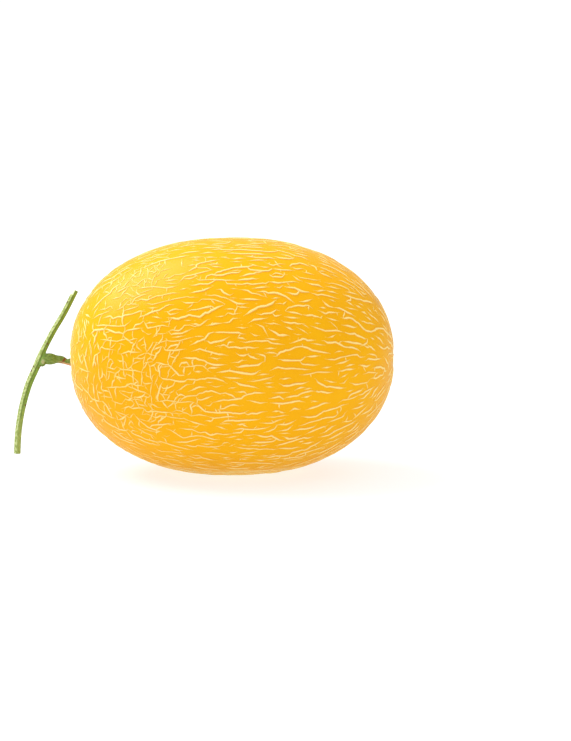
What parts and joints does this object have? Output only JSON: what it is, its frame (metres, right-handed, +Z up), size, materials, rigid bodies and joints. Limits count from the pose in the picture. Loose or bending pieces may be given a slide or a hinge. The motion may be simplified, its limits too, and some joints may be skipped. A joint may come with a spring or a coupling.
{
  "type": "canary melon",
  "caption": "Whole oval yellow melon with a raised corky net, lying on its side on a small flat spot, with a short stalk and a curved piece of cut vine at one end.",
  "frame": {"origin": "centre of the flat spot that the fruit rests on", "axes": "+X from the stem end to the blossom end, +Y to the hidden side of the fruit, +Z up"},
  "size_m": [0.253, 0.1591, 0.1574],
  "materials": {
    "rind": "satin waxy yellow rind under a raised cream net of cork",
    "vine": "matt ribbed green vine, pale on its lit side, with brown flecks"
  },
  "bodies": {
    "root": {"fruit": "rind", "stem": "vine"}
  },
  "joints": []
}
